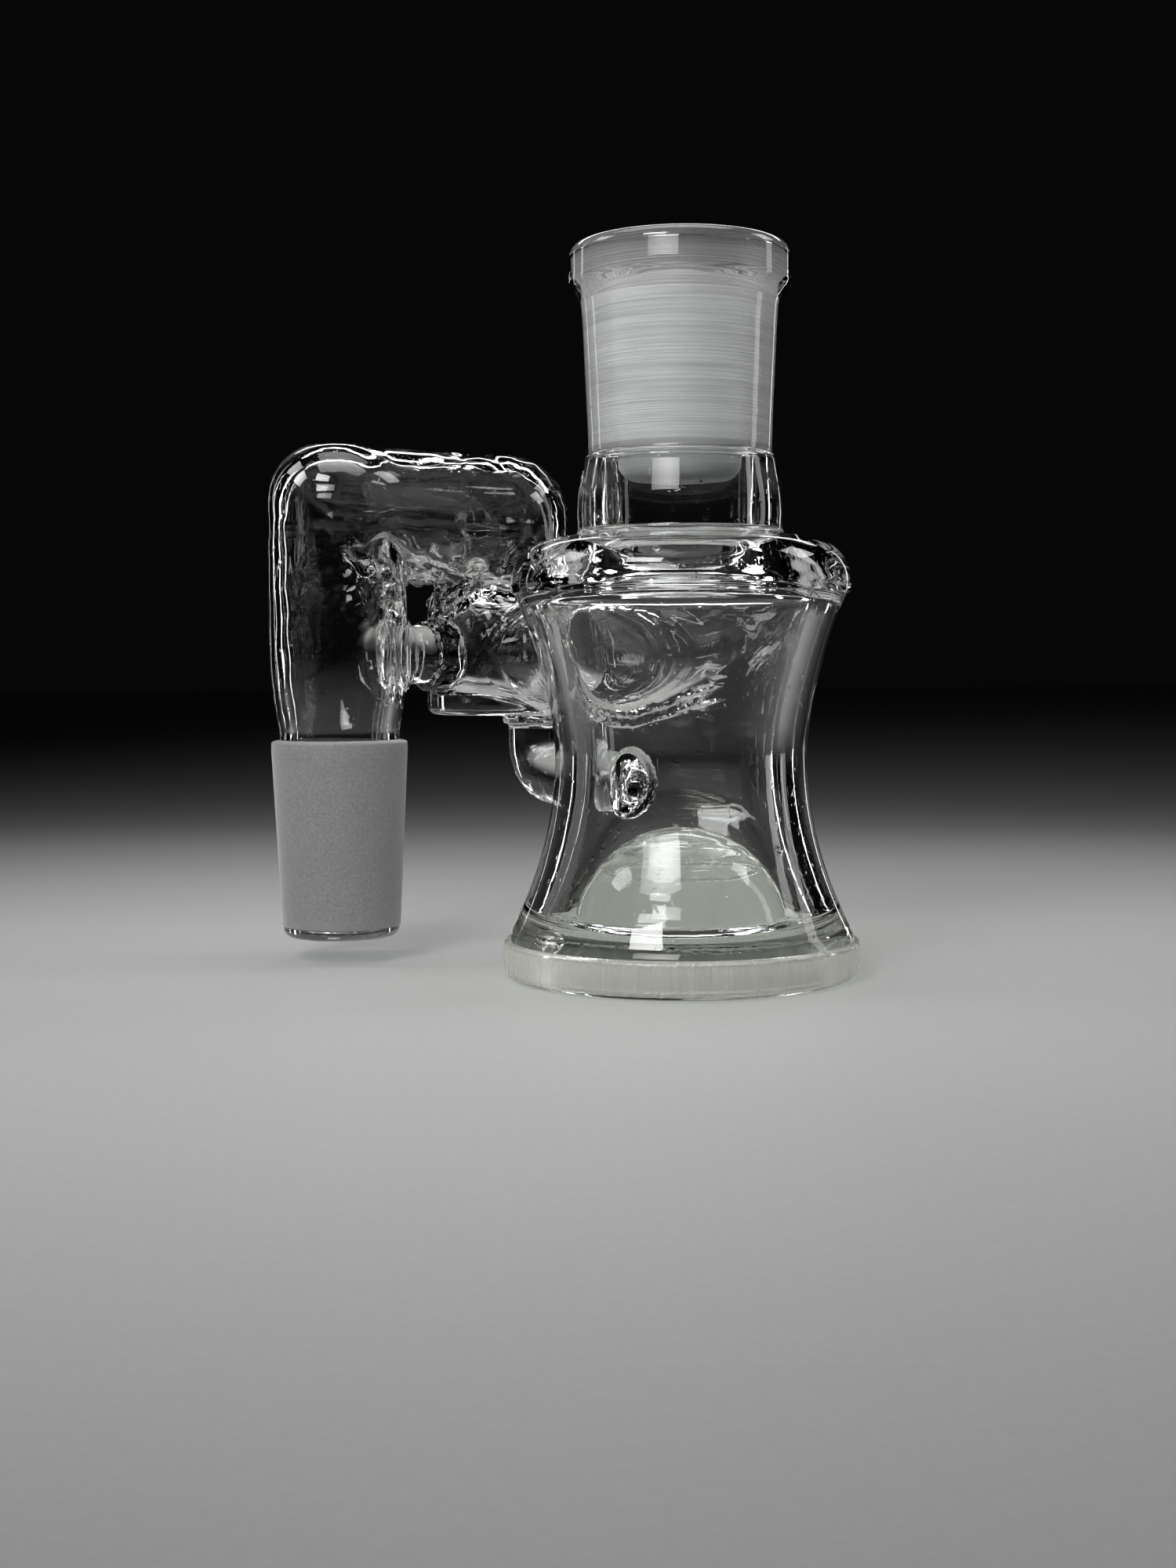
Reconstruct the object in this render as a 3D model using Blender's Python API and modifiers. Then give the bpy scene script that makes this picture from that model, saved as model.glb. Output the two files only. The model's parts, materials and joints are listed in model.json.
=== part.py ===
"""Clear glass drop-down adapter with two 19/26 ground joints.

A waisted can stands on a solid glass foot and carries a female joint on its neck. Behind it a small
side can opens into it through a port tube. From the side can an arm rises, crosses over and comes
down as a drop tube that ends in a male joint. Two solid rods brace the drop tube and the side can.

The origin is the centre of the foot's flat bottom, on the main can's axis. +Z is up, +X points away
from the drop tube, and +Y points towards the side can.
"""

import math

import bmesh
import bpy
from mathutils import Vector

MM = 0.001
GAP = 0.3  # between pieces that touch
OVERCUT = 5.0  # how far a cutter runs past what it cuts
STEPS = 40  # facets round the main can
FINE_STEPS = 32  # facets round the smaller tubes

# 19/26 standard taper joint: 1 in 10 on the diameter.
JOINT_TOP_R = 9.4
JOINT_LENGTH = 26.0
JOINT_SMALL_R = JOINT_TOP_R - JOINT_LENGTH / 20

# Main can, from the floor up.
FOOT_R = 23.2
FOOT_TOP = 4.9
FOOT_CORNER = 1.5
FOOT_TOP_CORNER = 0.8
WAIST_R = 16.35
WAIST_Z = 28.5
LOWER_FLARE = 6.4
UPPER_FLARE = 5.0
CAN_WALL = 3.8
SHOULDER_Z = 49.4
SHOULDER_R = 21.95
SHOULDER_CORNER = 3.6
DOME_R = 14.0
CEILING_R = 14.2
NECK_Z = 57.1
NECK_R = 13.2
NECK_TOP_R = 12.45
NECK_BORE_R = 9.8
BARREL_Z = 67.4
BARREL_R = 11.8
BARREL_TOP_R = 12.6
LIP_Z = 86.2
LIP_BAND_Z = 89.1
TOTAL_HEIGHT = 94.1
LIP_R = 14.2
LIP_CORNER = 1.6
CUP_WALL = 1.1
CUP_DEPTH = 3.8
THROAT_R = 4.2

# Side can, behind and to the left of the main can.
SIDE_X, SIDE_Y = -22.7, 33.0
SIDE_R = 12.7
SIDE_WALL = 2.2
SIDE_BOTTOM = 33.3
SIDE_FLOOR = 2.8
SIDE_TOP = 48.6
SIDE_CORNER = 1.6
SIDE_TOP_CORNER = 3.0
PORT_R = 7.5
PORT_BORE_R = 5.9
PORT_Z = 41.9

# Arm: rear elbow over the side can, cross tube, front elbow and drop tube.
ARM_Z = 61.2
ARM_R = 9.2
ARM_WALL = 2.0
REAR_X, REAR_Y = -24.0, 32.6
DROP_X, DROP_Y = -46.25, 15.6
DROP_R = 9.4
DROP_WALL = 2.1
DROP_TOP = 50.4
ARM_FOOT = 52.0  # where the rear elbow meets the side can
DROP_BOTTOM = 38.0
MALE_NECK_R = 8.2
MALE_TOP = 30.2
MALE_TIP = 3.2
MALE_TIP_CORNER = 1.2
ELBOW_REACH = 10.8
FRONT_DOME = 13.0  # height of the elbow's outer dome
DOME_BALL = 3.0  # how far along the level tube its rounded start lies
BALL_INSET = 0.1  # keeps the elbow's three shapes from sharing a surface
LEVEL_INSET = 0.25

# Solid brace rods.
ROD_R = 4.0
ROD_Z = 41.9
ROD_RING_R = 4.5
BENT_ROD_R = 3.9
BENT_TOP_X, BENT_TOP_Y = -19.6, 29.6
BENT_Z = 24.4
BENT_CORNER = 5.0
BENT_AZIMUTH = math.radians(119.0)


def clear_scene():
    for obj in list(bpy.data.objects):
        bpy.data.objects.remove(obj, do_unlink=True)


def make_collection(name, cutters=False):
    collection = bpy.data.collections.new(name)
    bpy.context.scene.collection.children.link(collection)
    collection.hide_render = cutters
    return collection


def glass(name, colour=(0.93, 0.96, 0.94), roughness=0.02):
    material = bpy.data.materials.new(name)
    material.use_nodes = True
    shader = material.node_tree.nodes["Principled BSDF"]
    shader.inputs["Base Color"].default_value = (*colour, 1.0)
    shader.inputs["Roughness"].default_value = roughness
    shader.inputs["Metallic"].default_value = 0.0
    shader.inputs["IOR"].default_value = 1.47
    shader.inputs["Transmission Weight"].default_value = 1.0
    return material


def frosted(name):
    return glass(name, colour=(0.86, 0.87, 0.88), roughness=0.6)


def add_object(name, mesh, collection, material=None):
    obj = bpy.data.objects.new(name, mesh)
    collection.objects.link(obj)
    if material:
        mesh.materials.append(material)
    return obj


def arc(centre, radius, start, end, count):
    """Points round a circle in the (r, z) plane, with the angles in degrees from +r towards +z."""
    r, z = centre
    angles = [math.radians(start + (end - start) * i / count) for i in range(count + 1)]
    return [(r + radius * math.cos(a), z + radius * math.sin(a)) for a in angles]


def outline_mesh(name, outline, ring):
    """The profile as edges in the XZ plane: a ring closes on itself, any other meets the axis."""
    mesh = bpy.data.meshes.new(name)
    count = len(outline)
    edges = [(i, i + 1) for i in range(count - 1)] + ([(count - 1, 0)] if ring else [])
    mesh.from_pydata([(r * MM, 0.0, z * MM) for r, z in outline], edges, [])
    return mesh


def baked(source, name, collection, material=None):
    """Turns an object, with its modifiers and its place, into a plain mesh object of the same place."""
    bpy.context.view_layer.update()
    graph = bpy.context.evaluated_depsgraph_get()
    mesh = bpy.data.meshes.new_from_object(source.evaluated_get(graph))
    matrix = source.matrix_world.copy()
    bpy.data.objects.remove(source, do_unlink=True)
    mesh.transform(matrix)
    mesh.name = name
    body = bmesh.new()
    body.from_mesh(mesh)
    bmesh.ops.remove_doubles(body, verts=body.verts, dist=1e-6)
    body.to_mesh(mesh)
    body.free()
    mesh.materials.clear()
    return add_object(name, mesh, collection, material)


def turned(name, outline, collection, material=None, at=(0.0, 0.0), ring=True, steps=STEPS):
    """A turned piece about the vertical line through at, from a profile of (r, z) points in mm."""
    source = add_object(name + "_profile", outline_mesh(name, outline, ring), collection)
    source.location = (at[0] * MM, at[1] * MM, 0.0)
    screw = source.modifiers.new("Turn", "SCREW")
    screw.angle = math.tau
    screw.steps = screw.render_steps = steps
    screw.axis = "Z"
    screw.use_merge_vertices = True
    screw.merge_threshold = 0.00001
    return baked(source, name, collection, material)


def rod(name, points, radius, collection, material=None, sides=3):
    """A round bar along points in mm, with flat ends."""
    curve = bpy.data.curves.new(name, "CURVE")
    curve.dimensions = "3D"
    curve.bevel_depth = radius * MM
    curve.bevel_resolution = sides
    curve.use_fill_caps = True
    spline = curve.splines.new("POLY")
    spline.points.add(len(points) - 1)
    for point, place in zip(spline.points, points):
        point.co = (*(Vector(place) * MM), 1.0)
    source = bpy.data.objects.new(name + "_path", curve)
    collection.objects.link(source)
    return baked(source, name, collection, material)


def ball(name, centre, radius, collection, steps=FINE_STEPS):
    mesh = bpy.data.meshes.new(name)
    body = bmesh.new()
    bmesh.ops.create_uvsphere(body, u_segments=steps, v_segments=steps // 2, radius=radius * MM)
    bmesh.ops.translate(body, verts=body.verts, vec=Vector(centre) * MM)
    body.to_mesh(mesh)
    body.free()
    return add_object(name, mesh, collection)


def boolean(target, other, operation="DIFFERENCE"):
    modifier = target.modifiers.new(operation.title(), "BOOLEAN")
    modifier.operation = operation
    modifier.solver = "EXACT"
    modifier.object = other
    other.hide_render = True
    other.display_type = "WIRE"
    return target


def shade(obj):
    obj.data.shade_smooth()
    obj.data.set_sharp_from_angle(angle=math.radians(35.0))


def can_radius(z):
    """Outer radius of the waisted can: a square-law flare below the waist, a softer one above it."""
    rise = z - WAIST_Z
    if rise < 0:
        return WAIST_R + LOWER_FLARE * (rise / (FOOT_TOP - WAIST_Z)) ** 2
    return WAIST_R + UPPER_FLARE * (rise / (SHOULDER_Z - WAIST_Z)) ** 1.7


def can_outline(bottom, top, wall, count):
    heights = [top + (bottom - top) * i / count for i in range(count + 1)]
    outer = [(can_radius(z), z) for z in heights]
    inner = [(can_radius(z) - wall, z) for z in reversed(heights[::2])]
    return outer + inner


def male_radius(z):
    """The ground cone's radius: the joint's large end is at MALE_TOP."""
    return JOINT_TOP_R - (MALE_TOP - z) / 20


def arm_point(distance, z=ARM_Z):
    """A point over the arm's centre line, measured from the drop tube towards the side can."""
    start, end = Vector((DROP_X, DROP_Y, 0)), Vector((REAR_X, REAR_Y, 0))
    place = start + (end - start).normalized() * distance
    return (place.x, place.y, z)


ARM_SPAN = math.hypot(REAR_X - DROP_X, REAR_Y - DROP_Y)


# Main can

def make_foot(part, clear):
    corner = (FOOT_R - FOOT_TOP_CORNER, FOOT_TOP - FOOT_TOP_CORNER)
    outline = [(0.0, FOOT_TOP)] + arc(corner, FOOT_TOP_CORNER, 90, 0, 3)
    outline += arc((FOOT_R - FOOT_CORNER, FOOT_CORNER), FOOT_CORNER, 0, -90, 4)
    outline += [(0.0, 0.0)]
    return turned("foot_disc", outline, part, clear, ring=False)


def make_dome(part, clear):
    base = FOOT_TOP + GAP
    outline = arc((0.0, base), DOME_R, 90, 0, 9) + [(0.0, base)]
    outline[0] = (0.0, base + DOME_R)
    return turned("floor_dome", outline, part, clear, ring=False)


def make_can_wall(part, cutters, clear):
    wall = turned("can_wall", can_outline(FOOT_TOP + GAP, SHOULDER_Z - GAP, CAN_WALL, 14), part, clear)
    return boolean(wall, port_cutter("can_port_cutter", cutters, 0.0, 30.0))


def make_shoulder(part, clear):
    corner = (SHOULDER_R - SHOULDER_CORNER, NECK_Z - SHOULDER_CORNER - 0.8)
    outline = [(NECK_BORE_R, NECK_Z), (NECK_R + 0.6, NECK_Z - 0.1), (corner[0] - 1.0, NECK_Z - 0.7)]
    outline += arc(corner, SHOULDER_CORNER, 75, 0, 6)
    outline += [(SHOULDER_R, SHOULDER_Z + 0.5), (SHOULDER_R - 0.4, SHOULDER_Z)]
    outline += [(CEILING_R, SHOULDER_Z)]
    outline += arc((NECK_BORE_R, SHOULDER_Z + 0.2), CEILING_R - NECK_BORE_R, 20, 90, 4)
    return turned("shoulder_ring", outline, part, clear)


def make_neck(part, clear):
    top = BARREL_Z - GAP
    outline = [(NECK_TOP_R - 0.6, top)] + arc((NECK_TOP_R - 0.6, top - 0.9), 0.9, 90, 0, 3)[1:]
    outline += [(NECK_TOP_R + 0.5, top - 4.0), (NECK_R, NECK_Z + 2.5), (NECK_R, NECK_Z + GAP)]
    outline += [(NECK_BORE_R, NECK_Z + GAP), (NECK_BORE_R, top)]
    return turned("neck_collar", outline, part, clear)


def make_barrel(part, ground):
    top = LIP_Z - GAP
    bore_top = JOINT_TOP_R - (TOTAL_HEIGHT - top) / 20
    outline = [(bore_top, top), (BARREL_TOP_R, top), (BARREL_R, BARREL_Z), (JOINT_SMALL_R, BARREL_Z)]
    return turned("female_joint_barrel", outline, part, ground)


def make_lip(part, ground):
    bore = JOINT_TOP_R - (TOTAL_HEIGHT - LIP_Z) / 20
    outline = [(JOINT_TOP_R + 0.5, TOTAL_HEIGHT)]
    outline += arc((LIP_R - LIP_CORNER, TOTAL_HEIGHT - LIP_CORNER), LIP_CORNER, 90, 0, 4)
    outline += [(LIP_R, LIP_BAND_Z), (LIP_R - 0.2, LIP_BAND_Z - 0.8), (BARREL_TOP_R + 0.2, LIP_Z)]
    outline += [(bore, LIP_Z), (JOINT_TOP_R - 0.02, TOTAL_HEIGHT - 0.5)]
    return turned("female_joint_lip", outline, part, ground)


def make_cup(part, ground):
    """The ground bore's rounded end, which hangs inside the neck, with the throat hole in it."""
    top, inner = BARREL_Z - GAP, JOINT_SMALL_R - 0.1
    outer, bottom = inner + CUP_WALL, BARREL_Z - CUP_DEPTH
    outline = [(outer, top)] + arc((outer - 1.8, bottom + 1.8), 1.8, 0, -90, 4)
    outline += [(THROAT_R, bottom), (THROAT_R, bottom + CUP_WALL)]
    outline += arc((inner - 0.8, bottom + CUP_WALL + 0.8), 0.8, -90, 0, 3) + [(inner, top)]
    return turned("throat_cup", outline, part, ground, steps=FINE_STEPS)


# Side can

def port_direction():
    return Vector((SIDE_X, SIDE_Y, 0.0)).normalized()


def port_cutter(name, cutters, start, end, radius=PORT_BORE_R):
    way = port_direction()
    points = [way * start + Vector((0, 0, PORT_Z)), way * end + Vector((0, 0, PORT_Z))]
    return rod(name, points, radius, cutters, sides=6)


def make_port(part, cutters, clear):
    """A short tube from the main can's wall to the side can's wall, cut to both of them."""
    way = port_direction()
    reach = math.hypot(SIDE_X, SIDE_Y)
    ends = [way * d + Vector((0, 0, PORT_Z)) for d in (14.0, reach - 4.0)]
    port = rod("port_tube", ends, PORT_R, part, clear, sides=6)
    boolean(port, port_cutter("port_bore_cutter", cutters, 10.0, reach))
    heights = [PORT_Z + PORT_R + 3 - (2 * PORT_R + 6) * i / 12 for i in range(13)]
    can = [(0.0, heights[0])] + [(can_radius(z) + GAP, z) for z in heights] + [(0.0, heights[-1])]
    boolean(port, turned("port_can_cutter", can, cutters, ring=False))
    side = [(0.0, SIDE_TOP + 5), (SIDE_R + GAP, SIDE_TOP + 5), (SIDE_R + GAP, SIDE_BOTTOM - 3)]
    side += [(0.0, SIDE_BOTTOM - 3)]
    return boolean(port, turned("port_side_cutter", side, cutters, at=(SIDE_X, SIDE_Y), ring=False))


def make_side_floor(part, clear):
    top, corner = SIDE_BOTTOM + SIDE_FLOOR, SIDE_CORNER
    outline = [(0.0, top), (SIDE_R, top)]
    outline += arc((SIDE_R - corner, SIDE_BOTTOM + corner), corner, 0, -90, 4) + [(0.0, SIDE_BOTTOM)]
    return turned("side_can_floor", outline, part, clear, (SIDE_X, SIDE_Y), False, FINE_STEPS)


def make_side_wall(part, cutters, clear):
    bottom, top = SIDE_BOTTOM + SIDE_FLOOR + GAP, SIDE_TOP - GAP
    outline = [(SIDE_R, top), (SIDE_R, bottom), (SIDE_R - SIDE_WALL, bottom), (SIDE_R - SIDE_WALL, top)]
    wall = turned("side_can_wall", outline, part, clear, (SIDE_X, SIDE_Y), steps=FINE_STEPS)
    reach = math.hypot(SIDE_X, SIDE_Y)
    return boolean(wall, port_cutter("side_port_cutter", cutters, reach - 20.0, reach))


def make_side_shoulder(part, clear):
    """The side can's rounded top, drawn in to the arm's width."""
    top, corner = ARM_FOOT, SIDE_TOP_CORNER
    outline = [(ARM_R - ARM_WALL, top), (ARM_R, top)]
    outline += arc((SIDE_R - corner, SIDE_TOP + 0.2), corner, 90, 0, 4)[:-1] + [(SIDE_R, SIDE_TOP)]
    inner = SIDE_R - SIDE_WALL
    outline += [(inner, SIDE_TOP), (inner - 1.4, SIDE_TOP + 1.2)]
    return turned("side_can_shoulder", outline, part, clear, (SIDE_X, SIDE_Y), steps=FINE_STEPS)


# Arm and drop tube

def elbow_solid(name, collection, cutters, at, towards, radius, bottom, reach, dome, material=None):
    """A tight elbow: a domed upright, and a level tube with a rounded start that leaves it."""
    base = ARM_Z + radius - dome
    profile = [(radius * math.cos(a), base + dome * math.sin(a))
               for a in (math.radians(90 - 90 * i / 8) for i in range(9))]
    profile[0] = (0.0, base + dome)
    profile += [(radius, bottom), (0.0, bottom)]
    upright = turned(name, profile, collection, material, at, False, FINE_STEPS)
    start = Vector((*at, ARM_Z))
    way = (Vector(towards) - start).normalized()
    start += way * DOME_BALL
    boolean(upright, ball(name + "_ball", start, radius - BALL_INSET, cutters), "UNION")
    end = start + way * (reach - DOME_BALL)
    level = rod(name + "_level", [start, end], radius - LEVEL_INSET, cutters, sides=6)
    return boolean(upright, level, "UNION")


def make_elbow(name, part, cutters, material, at, towards, radius, bottom, dome, wall):
    elbow = elbow_solid(name, part, cutters, at, towards, radius, bottom, ELBOW_REACH, dome, material)
    hollow = elbow_solid(name + "_bore", cutters, cutters, at, towards, radius - wall, bottom - OVERCUT,
                         ELBOW_REACH + OVERCUT, dome - wall)
    return boolean(elbow, hollow)


def make_front_elbow(part, cutters, clear):
    return make_elbow("front_elbow", part, cutters, clear, (DROP_X, DROP_Y), arm_point(ARM_SPAN),
                      DROP_R, DROP_TOP + GAP, FRONT_DOME, DROP_WALL)


def make_rear_elbow(part, cutters, clear):
    return make_elbow("rear_elbow", part, cutters, clear, (REAR_X, REAR_Y), arm_point(0.0),
                      ARM_R, ARM_FOOT + GAP, ARM_R, ARM_WALL)


def make_cross_tube(part, cutters, clear):
    start, end = ELBOW_REACH + GAP, ARM_SPAN - ELBOW_REACH - GAP
    tube = rod("cross_tube", [arm_point(start), arm_point(end)], ARM_R, part, clear, sides=6)
    bore = [arm_point(start - 3), arm_point(end + 3)]
    return boolean(tube, rod("cross_bore_cutter", bore, ARM_R - ARM_WALL, cutters, sides=6))


def drop_radius(z):
    """Outer radius below DROP_TOP: straight, then drawn in smoothly to the ground cone."""
    low, high = MALE_TOP + 1.2, DROP_BOTTOM + 4.0
    share = min(max((z - low) / (high - low), 0.0), 1.0)
    return MALE_NECK_R + (DROP_R - MALE_NECK_R) * (1 - (1 - share) ** 1.6)


def drop_outline(top, bottom, count):
    heights = [top + (bottom - top) * i / count for i in range(count + 1)]
    return ([(drop_radius(z), z) for z in heights]
            + [(drop_radius(z) - DROP_WALL, z) for z in reversed(heights)])


def make_drop_tube(part, clear):
    outline = drop_outline(DROP_TOP, DROP_BOTTOM, 6)
    return turned("drop_tube", outline, part, clear, (DROP_X, DROP_Y), steps=FINE_STEPS)


def make_male_neck(part, clear):
    """The drawn-in zone between the drop tube and the ground cone."""
    outline = drop_outline(DROP_BOTTOM - GAP, MALE_TOP + GAP, 6)
    return turned("male_joint_neck", outline, part, clear, (DROP_X, DROP_Y), steps=FINE_STEPS)


def make_male_cone(part, ground):
    bottom = MALE_TOP - JOINT_LENGTH + 0.6
    outline = [(MALE_NECK_R - DROP_WALL, MALE_TOP), (JOINT_TOP_R - 0.3, MALE_TOP)]
    outline += [(male_radius(MALE_TOP - 0.3), MALE_TOP - 0.3), (male_radius(bottom), bottom)]
    outline += [(male_radius(bottom) - 2.2, bottom)]
    return turned("male_joint_cone", outline, part, ground, (DROP_X, DROP_Y), steps=FINE_STEPS)


def make_male_tip(part, clear):
    top = MALE_TOP - JOINT_LENGTH + 0.6 - GAP
    radius, corner = male_radius(top) - 0.1, MALE_TIP_CORNER
    outline = [(radius - 2.1, top), (radius, top)]
    outline += arc((radius - corner, MALE_TIP + corner), corner, 0, -90, 4) + [(radius - 2.1, MALE_TIP)]
    return turned("male_joint_tip", outline, part, clear, (DROP_X, DROP_Y), steps=FINE_STEPS)


# Brace rods

def brace_way():
    start, end = Vector((DROP_X, DROP_Y, ROD_Z)), Vector((SIDE_X, SIDE_Y, ROD_Z))
    return start, (end - start).normalized(), (end - start).length


def tube_cutter(name, cutters, at, radius):
    outline = [(0.0, ROD_Z + 9), (radius + GAP, ROD_Z + 9), (radius + GAP, ROD_Z - 9), (0.0, ROD_Z - 9)]
    return turned(name, outline, cutters, at=at, ring=False, steps=FINE_STEPS)


def make_straight_brace(part, cutters, clear):
    """A level bar from the drop tube to the side can, with a weld pad and a thick weld ring."""
    start, way, span = brace_way()
    face_a, face_b = DROP_R + 1.0, span - SIDE_R - 2.2
    pad = rod("drop_tube_weld_pad", [start + way * (DROP_R - 2), start + way * face_a],
              ROD_RING_R, part, clear, sides=4)
    boolean(pad, tube_cutter("pad_cutter", cutters, (DROP_X, DROP_Y), DROP_R))
    ring = rod("side_can_weld_ring", [start + way * face_b, start + way * (face_b + 4.2)],
               ROD_RING_R, part, clear, sides=4)
    boolean(ring, tube_cutter("ring_cutter", cutters, (SIDE_X, SIDE_Y), SIDE_R))
    ends = [start + way * (face_a + GAP), start + way * (face_b - GAP)]
    rod("straight_brace_rod", ends, ROD_R, part, clear, sides=4)


def bent_path(wall_gap):
    """Down from the side can's floor, round one bend and level to the main can's wall."""
    top = Vector((BENT_TOP_X, BENT_TOP_Y, SIDE_BOTTOM - GAP))
    corner = Vector((BENT_TOP_X, BENT_TOP_Y, BENT_Z))
    radius = can_radius(BENT_Z) + wall_gap
    weld = Vector((radius * math.cos(BENT_AZIMUTH), radius * math.sin(BENT_AZIMUTH), BENT_Z))
    way = (weld - corner).normalized()
    up = Vector((0, 0, 1))
    middle = corner + (way + up) * BENT_CORNER
    bend = [middle - way * BENT_CORNER * math.cos(a) - up * BENT_CORNER * math.sin(a)
            for a in (math.radians(90 * i / 8) for i in range(9))]
    return top, bend, weld, way


def make_bent_brace(part, cutters, clear):
    top, bend, weld, way = bent_path(2.2)
    rod("bent_brace_rod", [top - Vector((0, 0, 1.5))] + bend + [weld - way * GAP], BENT_ROD_R,
        part, clear, sides=4)
    rod("bent_brace_collar", [top, top - Vector((0, 0, 1.2))], BENT_ROD_R + 0.8, part, clear, sides=4)
    pad = rod("can_wall_weld_pad", [weld, weld + way * 6], BENT_ROD_R + 0.5, part, clear, sides=4)
    count = 8
    heights = [BENT_Z + 9 - 18 * i / count for i in range(count + 1)]
    can = [(0.0, heights[0])] + [(can_radius(z) + GAP, z) for z in heights] + [(0.0, heights[-1])]
    boolean(pad, turned("bent_pad_cutter", can, cutters, ring=False))


clear_scene()
PART = make_collection("glass_drop_down_adapter")
CUTTERS = make_collection("cutters", cutters=True)
CLEAR = glass("clear_glass")
THICK = glass("thick_edge_glass", colour=(0.88, 0.93, 0.86))
GROUND = frosted("ground_glass")

make_foot(PART, THICK)
make_dome(PART, CLEAR)
make_can_wall(PART, CUTTERS, CLEAR)
make_shoulder(PART, CLEAR)
make_neck(PART, CLEAR)
make_cup(PART, GROUND)
make_barrel(PART, GROUND)
make_lip(PART, GROUND)
make_port(PART, CUTTERS, CLEAR)
make_side_floor(PART, CLEAR)
make_side_wall(PART, CUTTERS, CLEAR)
make_side_shoulder(PART, CLEAR)
make_rear_elbow(PART, CUTTERS, CLEAR)
make_cross_tube(PART, CUTTERS, CLEAR)
make_front_elbow(PART, CUTTERS, CLEAR)
make_drop_tube(PART, CLEAR)
make_male_neck(PART, CLEAR)
make_male_cone(PART, GROUND)
make_male_tip(PART, CLEAR)
make_straight_brace(PART, CUTTERS, CLEAR)
make_bent_brace(PART, CUTTERS, CLEAR)
for piece in PART.objects:
    shade(piece)
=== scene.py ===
"""The looks of the clear glass drop-down adapter: fused lampworked glass on a pale floor.

The glass is built as one continuous solid, so that light passes its welds as it does in the real
object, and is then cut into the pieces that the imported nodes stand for. The cut faces let light
straight through. The glass is sized in millimetres, in the frame's own axes. The lights and the
camera are placed in metres.
"""

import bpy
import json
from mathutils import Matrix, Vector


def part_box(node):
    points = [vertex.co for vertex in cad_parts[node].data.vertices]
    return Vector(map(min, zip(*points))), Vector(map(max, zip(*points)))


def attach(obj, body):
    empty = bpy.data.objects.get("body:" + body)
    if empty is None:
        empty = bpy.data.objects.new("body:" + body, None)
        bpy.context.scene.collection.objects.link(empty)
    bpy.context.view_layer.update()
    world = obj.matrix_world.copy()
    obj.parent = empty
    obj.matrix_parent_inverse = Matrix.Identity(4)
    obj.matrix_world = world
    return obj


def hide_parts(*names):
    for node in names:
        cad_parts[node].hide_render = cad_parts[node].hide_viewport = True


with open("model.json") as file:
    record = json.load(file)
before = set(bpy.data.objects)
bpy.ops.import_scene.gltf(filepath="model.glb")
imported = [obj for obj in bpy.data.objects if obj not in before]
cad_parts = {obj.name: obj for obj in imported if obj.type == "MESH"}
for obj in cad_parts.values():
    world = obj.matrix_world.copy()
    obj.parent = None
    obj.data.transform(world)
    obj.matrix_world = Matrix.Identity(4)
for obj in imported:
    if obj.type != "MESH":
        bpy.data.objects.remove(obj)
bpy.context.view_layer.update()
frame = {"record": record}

import json
import math

import bmesh
import bpy
import numpy as np
import openvdb
from mathutils import Matrix, Vector

MM = 0.001
TURN_STEPS, JOINT_STEPS, CUTTER_STEPS = 176, 128, 96  # faces round a turned piece
STEP = 1.1  # the longest face along a turned outline
VOXEL = 0.45


# Places and sizes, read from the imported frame

def node_box(name):
    """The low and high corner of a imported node, in millimetres."""
    low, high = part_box(name)
    return np.array(low) / MM, np.array(high) / MM


def node_centre(name):
    low, high = node_box(name)
    return (low + high) / 2


def node_radius(name):
    """Half the node's width, which is the radius of an upright turned piece."""
    low, high = node_box(name)
    return (high[0] - low[0]) / 2


FOOT_R = node_radius("foot_disc")
FOOT_TOP = node_box("foot_disc")[1][2]
DOME_TOP = node_box("floor_dome")[1][2]
DOME_R = node_radius("floor_dome")
SHOULDER_R = node_radius("shoulder_ring")
SHOULDER_Z, NECK_Z = (node_box("shoulder_ring")[i][2] for i in (0, 1))
NECK_R = node_radius("neck_collar")
BARREL_Z = node_box("female_joint_barrel")[0][2]
BARREL_TOP_R = node_radius("female_joint_barrel")
LIP_Z, TOTAL_Z = (node_box("female_joint_lip")[i][2] for i in (0, 1))
LIP_R = node_radius("female_joint_lip")
SIDE_AXIS = node_centre("side_can_wall")[:2]
SIDE_R = node_radius("side_can_wall")
SIDE_BOTTOM = node_box("side_can_floor")[0][2]
DROP_AXIS = node_centre("drop_tube")[:2]
DROP_R = node_radius("drop_tube")
MALE_TOP = node_box("male_joint_cone")[1][2]
MALE_TIP = node_box("male_joint_tip")[0][2]
JOINT_R = node_radius("male_joint_cone")
ARM_Z = node_centre("cross_tube")[2]
ARM_R = (node_box("cross_tube")[1][2] - node_box("cross_tube")[0][2]) / 2
PORT_Z = node_centre("port_tube")[2]
ROD_Z = node_centre("straight_brace_rod")[2]
PAD_PLACE = node_centre("can_wall_weld_pad")[:2]

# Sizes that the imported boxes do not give

REAR_AXIS = np.array([-24.0, 32.6])  # where the rear elbow comes up out of the side can
WAIST_R = 16.35
WAIST_Z = 28.5
LOWER_FLARE = 6.4  # how much wider than the waist the can is at its foot
UPPER_FLARE = 5.0  # and at its shoulder
CAN_WALL = 3.8
BARREL_R = 11.8
THROAT_R = 4.2
NECK_BORE_R = 9.8
TUBE_WALL = 2.0
SIDE_WALL = 2.2
JOINT_LENGTH = 26.0
TAPER = 20  # mm of length for each mm of radius: 1 in 10 across
GROUND_END = MALE_TOP - JOINT_LENGTH + 0.6  # where the male cone's grinding stops
LIP_BORE_Z = 93.2  # the ground bore's top, under the rounded rim
BARREL_BORE_Z = 88.0  # where the bore's top band, painted darker as shade, meets its white length
BORE_END_Z = 68.6  # the tapered bore's lower end, where the cup begins
MALE_NECK_R = 8.2
PORT_R = 7.5
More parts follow.
